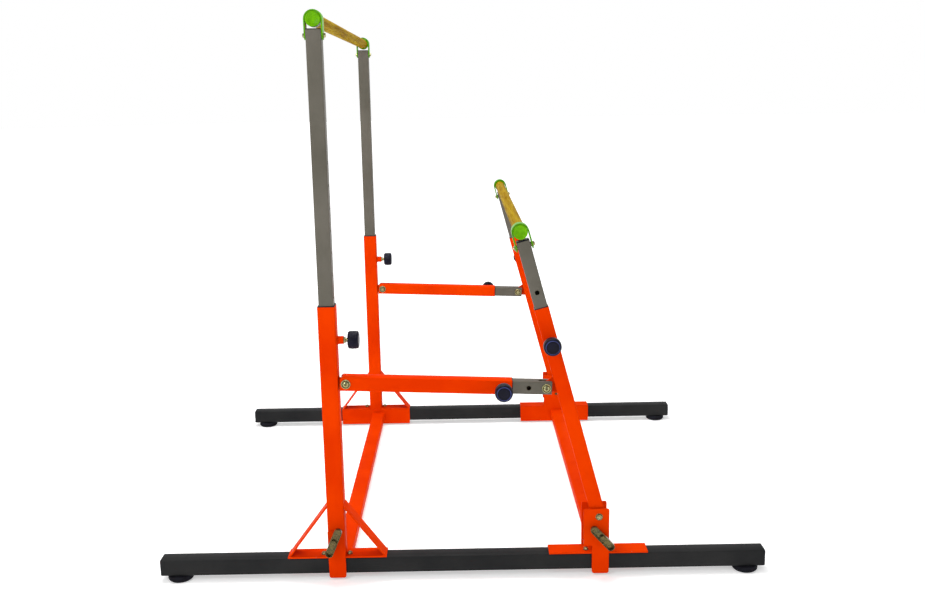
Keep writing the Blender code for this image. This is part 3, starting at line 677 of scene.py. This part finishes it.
def make_bolts():
    """Through bolts of the arms, the legs and the saddles."""
    arm = (ARM_SHANK, 0.0165, ARM_FLATS)
    end = (ARM_SHANK, 0.0160, ARM_FLATS)
    leg = (ARM_SHANK, 0.0130, ARM_FLATS)
    saddle = (SADDLE_SHANK, 0.0095, SADDLE_FLATS)
    low_spacers = (0.0085, 0.0228, 0.0250)  # radius, and both faces from the tube's middle
    for side, sign in SIDES.items():
        out = sign * Y
        make_bolt(f"arm_pivot_bolt_{side}", f"arm_pivot_hardware_{side}", out, *arm, "dome")
        make_bolt(f"arm_end_bolt_{side}", f"arm_end_hardware_{side}", out, *end, "dome", False)
        make_bolt(f"arm_end_nut_{side}", f"arm_end_nut_hardware_{side}", -out, *end, "hex", False)
        make_bolt(f"leg_pivot_bolt_{side}", f"leg_pivot_hardware_{side}", out, *leg, "plain")
        for bar, across, spacers in (("high_bar", X, None), ("low_bar", LEG_OUT, low_spacers)):
            node = f"{bar}_saddle_bolt_{side}"
            name = f"{bar}_saddle_hardware_{side}"
            make_bolt(node, name, across, *saddle, "plain", spacers=spacers)


# ---------------------------------------------------------------- pieces added to the CAD ones

def make_base_bolts():
    """Two bolts that hold each bracket to its rail, on either side of the post or fork."""
    for bar, shift in (("high_post", -0.003), ("low_leg", 0.003)):
        for side, sign in SIDES.items():
            rail = f"base_rail_{side}"
            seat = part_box(rail)[1].z + PLATE_ABOVE_RAIL + SKIN
            x = middle(f"{bar}_bracket_{side}").x + shift
            y = middle(rail).y + sign * BASE_BOLT_OUT
            for label, direction in (("left", -1), ("right", 1)):
                matrix = along(Vector((x + direction * BASE_BOLT_REACH, y, 0)), Z)
                bm = bmesh.new()
                add_washer(bm, matrix, seat, 0.0095, False)
                add_hex_head(bm, matrix, seat + WASHER, 0.0150, 0.0062)
                name = f"{bar}_base_bolt_{side}_{label}"
                # The second material is painted shade on the washer's top face and in the head's groove.
                make_piece(name, bm, "zinc_plate", "root", (), 25, DARK_ZINC_AND_GROOVE_SHADE)


def square_frame(origin, direction, across):
    """A matrix that puts local Z along a square tube and local X across it."""
    matrix = Matrix((across, direction.cross(across), direction)).transposed().to_4x4()
    matrix.translation = origin
    return matrix


def square_rings(levels):
    """Rounded square rings, one for each (width, level)."""
    rings = []
    for width, level in levels:
        outline = rounded_rectangle(width, width, 0.09 * width)
        rings.append([(u, v, level) for u, v in outline])
    return rings


def sleeve(name, body, matrix, outer, wall, inner):
    """Plastic guide in a tube's mouth: a thin lip on the rim and a skirt between the two tubes."""
    bore = inner + 2 * SKIN
    lip = outer - 0.0016
    skirt = outer - 2 * wall - 2 * SKIN
    levels = [
        (bore, -0.030), (skirt, -0.030), (skirt, SKIN), (lip, SKIN), (lip, 0.0014),
        (lip - 0.0012, 0.0024), (bore + 0.0006, 0.0024), (bore, 0.0018),
    ]
    bm = bmesh.new()
    add_rings(bm, square_rings(levels), matrix, closed=True)
    make_piece(name, bm, "black_plastic", body)


def leg_point(side, node, end):
    """The point on a low leg's middle line at one end (0 or 1) of a node's span."""
    pivot = Vector(JOINTS["low_bar_tilt"]["pos_m"]) + Y * middle(f"high_post_inner_{side}").y
    return pivot + LEG * (span(node, LEG)[end] - pivot.dot(LEG))


def make_sleeves():
    """Guides at the mouths of the six telescopic tubes."""
    for side in SIDES:
        mouth = middle(f"high_post_inner_{side}")
        mouth.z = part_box(f"high_post_outer_{side}")[1].z
        matrix = square_frame(mouth, Z, X)
        sleeve(f"post_sleeve_{side}", "root", matrix, POST, POST_WALL, MAST)
        matrix = square_frame(leg_point(side, f"low_leg_outer_{side}", 1), LEG, LEG_OUT)
        sleeve(f"leg_sleeve_{side}", "low_frame", matrix, LEG_TUBE, TUBE_WALL, STEM)
        hinge = Vector(JOINTS[f"arm_pivot_{side}"]["pos_m"])
        mouth = hinge + ARM * (span(f"arm_outer_{side}", ARM)[1] - hinge.dot(ARM))
        matrix = square_frame(mouth, ARM, Y)
        sleeve(f"arm_sleeve_{side}", f"arm_{side}", matrix, LEG_TUBE, TUBE_WALL, STEM)


def plug(name, body, matrix, size):
    """Plastic plug pressed into a tube's end, with an eased head."""
    inside = size - 2 * TUBE_WALL - 2 * SKIN
    head = size - 0.0006
    levels = [(inside, -0.016), (inside, SKIN), (head, SKIN), (head, 0.0016), (size - 0.004, 0.0028)]
    bm = bmesh.new()
    add_rings(bm, square_rings(levels), matrix)
    make_piece(name, bm, "black_plastic", body)


def make_plugs():
    """Plugs at the tops of the sliding tubes and at the feet of the tilting legs."""
    for side in SIDES:
        top = middle(f"high_post_inner_{side}")
        top.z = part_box(f"high_post_inner_{side}")[1].z
        plug(f"mast_plug_{side}", "high_bar_carriage", square_frame(top, Z, X), MAST)
        matrix = square_frame(leg_point(side, f"low_leg_inner_{side}", 1), LEG, LEG_OUT)
        plug(f"stem_plug_{side}", "low_bar_carriage", matrix, STEM)
        matrix = square_frame(leg_point(side, f"low_leg_outer_{side}", 0), -LEG, LEG_OUT)
        plug(f"leg_foot_plug_{side}", "low_frame", matrix, LEG_TUBE)


def ring_path(centre, u, v, outline):
    """An outline's points on a plane through a centre."""
    return [centre + u * a + v * b for a, b in outline]


def round_outline(radius, pitch=0.0012):
    """Points round a circle, one for each ripple of a bead."""
    count = 3 * round(2 * pi * radius / pitch / 3)
    return [(radius * cos(2 * pi * i / count), radius * sin(2 * pi * i / count)) for i in range(count)]


def square_outline(width, height, corner, pitch=0.0016):
    """Points round a rounded rectangle, evenly spaced."""
    corners = rounded_rectangle(width, height, corner, 4)
    points = []
    for (u0, v0), (u1, v1) in zip(corners, corners[1:] + corners[:1]):
        steps = max(1, round(((u1 - u0) ** 2 + (v1 - v0) ** 2) ** 0.5 / pitch))
        points += [(u0 + (u1 - u0) * i / steps, v0 + (v1 - v0) * i / steps) for i in range(steps)]
    return points[: len(points) - len(points) % 3]


def weld_bead(name, path, radius, body):
    """A painted weld bead."""
    bm = bmesh.new()
    add_bead(bm, path, radius)
    make_piece(name, bm, "orange_powder_coat", body, sharp=80)


def make_welds():
    """Beads round the knob bosses, the posts' feet and the floor tubes' ends."""
    boss = round_outline(BOSS_FOOT)
    foot_outline = square_outline(POST + 0.0005, POST + 0.0005, 0.0055)
    for side, sign in SIDES.items():
        post = middle(f"high_post_inner_{side}")
        knob = middle(f"post_knob_{side}")
        path = ring_path(Vector((post.x + POST / 2, knob.y, knob.z)), Y, Z, boss)
        weld_bead(f"post_boss_weld_{side}", path, BOSS_BEAD, "root")
        for kind, body in (("leg", "low_frame"), ("arm", f"arm_{side}")):
            knob = middle(f"{kind}_knob_{side}")
            path = ring_path(Vector((knob.x, post.y + sign * LEG_TUBE / 2, knob.z)), X, Z, boss)
            weld_bead(f"{kind}_boss_weld_{side}", path, BOSS_BEAD, body)
        foot = Vector((post.x, post.y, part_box(f"high_post_outer_{side}")[0].z))
        weld_bead(f"post_foot_weld_{side}", ring_path(foot, X, Y, foot_outline), FRAME_BEAD, "root")
        for bar in ("high", "low"):
            tube = f"floor_cross_tube_{bar}"
            low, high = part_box(tube)
            end = middle(tube)
            end.y = low.y if sign < 0 else high.y
            outline = square_outline(high.x - low.x, high.z - low.z, 0.0054)
            weld_bead(f"{tube}_weld_{side}", ring_path(end, X, Z, outline), FRAME_BEAD, "root")


# ---------------------------------------------------------------- stage, light and camera

def make_stage():
    """A wide pale floor."""
    below = (0, 0, -0.0005)
    bpy.ops.mesh.primitive_circle_add(vertices=96, radius=60, fill_type="NGON", location=below)
    floor = bpy.context.object
    floor.name = "stage_floor"
    floor.data.materials.append(pale_floor())


def area_light(name, location, target, size, power):
    """A square soft box aimed at a point."""
    light = bpy.data.lights.new(name, "AREA")
    light.shape = "SQUARE"
    light.size = size
    light.energy = power
    lamp = bpy.data.objects.new(name, light)
    lamp.location = location
    lamp.rotation_euler = (Vector(target) - Vector(location)).to_track_quat("-Z", "Y").to_euler()
    bpy.context.scene.collection.objects.link(lamp)


def make_light():
    """White surroundings that darken overhead, a key light, a top light and a weak fill."""
    world = bpy.data.worlds.new("studio")
    world.use_nodes = True
    tree = world.node_tree
    background = tree.nodes["Background"]
    background.inputs["Color"].default_value = (1.0, 1.0, 1.0, 1.0)
    direction = tree.nodes.new("ShaderNodeTexCoord")
    split = tree.nodes.new("ShaderNodeSeparateXYZ")
    put(tree, split.inputs["Vector"], direction.outputs["Generated"])
    put(tree, background.inputs["Strength"], ramp(tree, split.outputs["Z"], 0.11, 0.50, 1.0, 0.35))
    bpy.context.scene.world = world
    area_light("key", (-2.6, -3.8, 3.4), (0.0, 0, 0.8), 1.6, 78)
    area_light("top", (-0.4, 0.4, 4.6), (0.0, 0, 0.8), 2.6, 212)
    area_light("fill", (3.4, -3.6, 1.8), (0, 0, 0.9), 1.8, 20)


def make_camera():
    """A camera at eye height in front of the front rail, looking slightly down."""
    camera = bpy.data.cameras.new("camera")
    camera.sensor_width = SENSOR_MM
    camera.lens = LENS_MM
    view = bpy.data.objects.new("camera", camera)
    aim = Matrix.Rotation(radians(90) + CAMERA_TILT, 4, "X") @ Matrix.Rotation(CAMERA_ROLL, 4, "Z")
    view.matrix_world = Matrix.Translation(CAMERA_PLACE) @ aim
    bpy.context.scene.collection.objects.link(view)
    bpy.context.scene.camera = view
    bpy.context.scene.view_settings.view_transform = "Standard"


dress_cad_nodes()
make_bars()
make_end_caps()
make_feet()
make_knobs()
make_bolts()
make_base_bolts()
make_sleeves()
make_plugs()
make_welds()
make_stage()
make_light()
make_camera()
